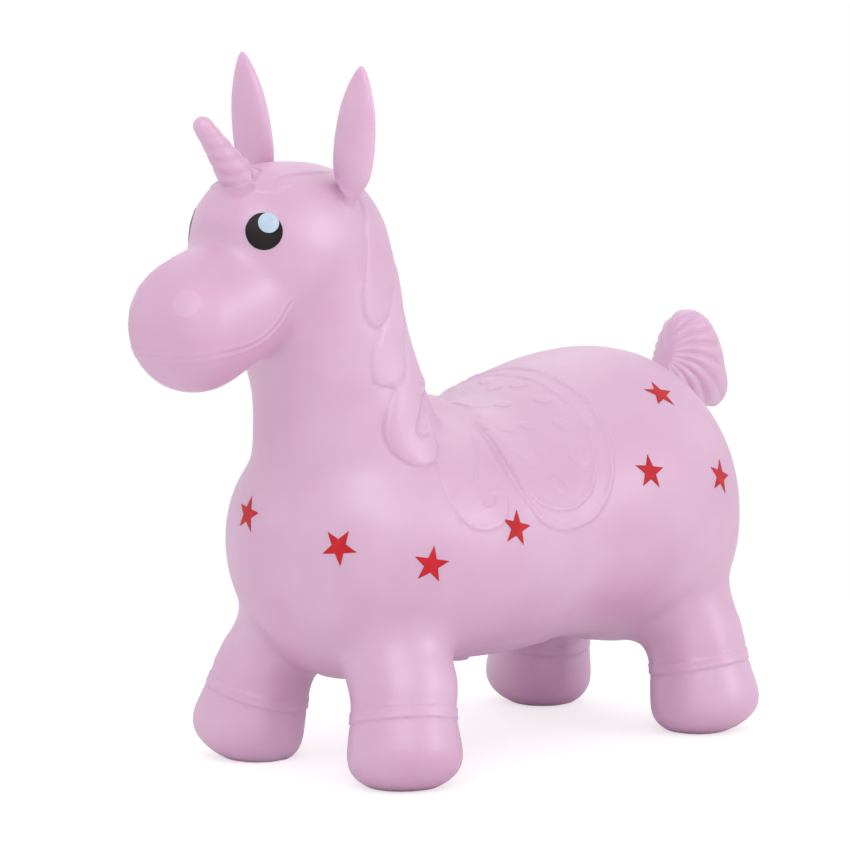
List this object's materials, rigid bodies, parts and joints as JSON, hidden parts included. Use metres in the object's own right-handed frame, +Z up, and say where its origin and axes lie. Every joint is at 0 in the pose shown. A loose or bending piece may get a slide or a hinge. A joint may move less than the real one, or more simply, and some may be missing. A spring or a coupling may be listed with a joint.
{
  "type": "inflatable bouncy ride-on unicorn",
  "caption": "Inflatable soft PVC unicorn that a small child sits on and bounces, with moulded saddle, mane, horn, tail and four hoof feet.",
  "frame": {"origin": "on the ground plane under the middle of the whole animal, midway between nose and tail and on its middle plane", "axes": "-X is the way the animal faces, -Y is its left side, +Z is up"},
  "size_m": [0.5748, 0.2482, 0.4962],
  "materials": {
    "pink_pvc": "pearly satin, soft PVC",
    "white_plastic": "satin",
    "black_ink": "gloss print",
    "pale_ink": "gloss print",
    "red_ink": "satin print"
  },
  "bodies": {
    "animal": {"body_skin": "pink_pvc", "eye_left": "black_ink", "eye_right": "black_ink", "eye_glint_left": "pale_ink", "eye_glint_right": "pale_ink", "star_chest_left": "red_ink", "star_chest_right": "red_ink", "star_shoulder_left": "red_ink", "star_shoulder_right": "red_ink", "star_girth_left": "red_ink", "star_girth_right": "red_ink", "star_flank_left": "red_ink", "star_flank_right": "red_ink", "star_croup_left": "red_ink", "star_croup_right": "red_ink", "star_thigh_left": "red_ink", "star_thigh_right": "red_ink"},
    "stopper": {"valve_stopper": "white_plastic"}
  },
  "joints": [
    {"name": "stopper_pull", "type": "slide", "parent": "animal", "child": "stopper", "axis": [0, 0, -1], "range_m": [0, 0.03]}
  ]
}
